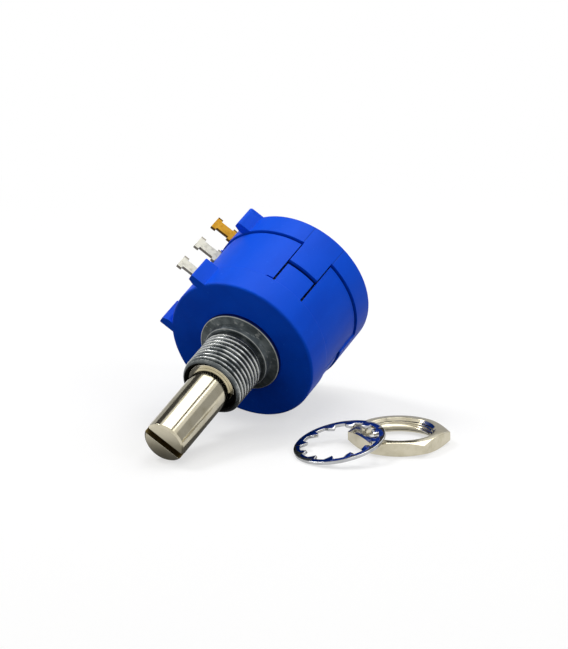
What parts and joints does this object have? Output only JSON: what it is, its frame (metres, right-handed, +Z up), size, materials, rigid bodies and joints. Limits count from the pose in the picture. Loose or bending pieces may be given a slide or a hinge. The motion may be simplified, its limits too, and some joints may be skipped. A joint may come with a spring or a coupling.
{
  "type": "multi-turn potentiometer",
  "caption": "Panel-mount multi-turn wirewound potentiometer with a slotted shaft, threaded bushing and solder lugs, lying with its loose panel nut and lock washer.",
  "frame": {"origin": "middle of the footprint, on the surface that the potentiometer, nut and washer lie on", "axes": "+Z up from that surface; -Y is the level direction in which the shaft points as it leans nose down; +X is towards the loose nut"},
  "size_m": [0.0444, 0.0432, 0.0285],
  "materials": {
    "blue_plastic": "satin moulded",
    "zinc_casting": "die cast, slightly rough",
    "nickel_plate": "bright nickel",
    "chrome_plate": "bright chrome",
    "spring_steel": "plain",
    "tinned_brass": "tinned",
    "gold_brass": "gold plated",
    "contact_brass": "bright",
    "resistance_wire": "wound wire",
    "core_wire": "enamelled",
    "rotor_plastic": "natural",
    "carriage_plastic": "black"
  },
  "bodies": {
    "pot_body": {"front_housing": "blue_plastic", "rear_cover": "blue_plastic", "mounting_bushing": "zinc_casting", "thrust_washer": "spring_steel", "spring_washer": "spring_steel", "slip_contact": "contact_brass", "resistance_winding": "resistance_wire", "winding_core": "core_wire", "front_end_clip": "contact_brass", "rear_end_clip": "contact_brass", "ccw_terminal": "tinned_brass", "cw_terminal": "tinned_brass", "slider_terminal": "gold_brass"},
    "shaft_and_rotor": {"shaft": "nickel_plate", "shaft_retaining_ring": "chrome_plate", "rotor": "rotor_plastic", "collector_bar": "contact_brass", "slip_ring": "contact_brass"},
    "carriage": {"wiper_carriage": "carriage_plastic", "wiper_contact": "contact_brass"},
    "nut": {"hex_nut": "nickel_plate"},
    "washer": {"lock_washer": "chrome_plate"}
  },
  "joints": [
    {"name": "shaft_turn", "type": "hinge", "parent": "pot_body", "child": "shaft_and_rotor", "pos_m": [-0.00902, -0.00089, 0.01019], "axis": [0, -0.9378, -0.3473], "range_deg": [-1800, 1800]},
    {"name": "carriage_slide", "type": "slide", "parent": "shaft_and_rotor", "child": "carriage", "axis": [0, -0.9378, -0.3473], "range_m": [-0.00526, 0.00526]},
    {"name": "nut_lift", "type": "slide", "parent": "pot_body", "child": "nut", "axis": [0, 0, 1], "range_m": [0, 0.025]},
    {"name": "washer_lift", "type": "slide", "parent": "nut", "child": "washer", "axis": [0, 0, 1], "range_m": [0, 0.025]}
  ],
  "couplings": [
    {"joint": "carriage_slide", "follows": "shaft_turn", "m_per_rad": 0.00016711}
  ]
}
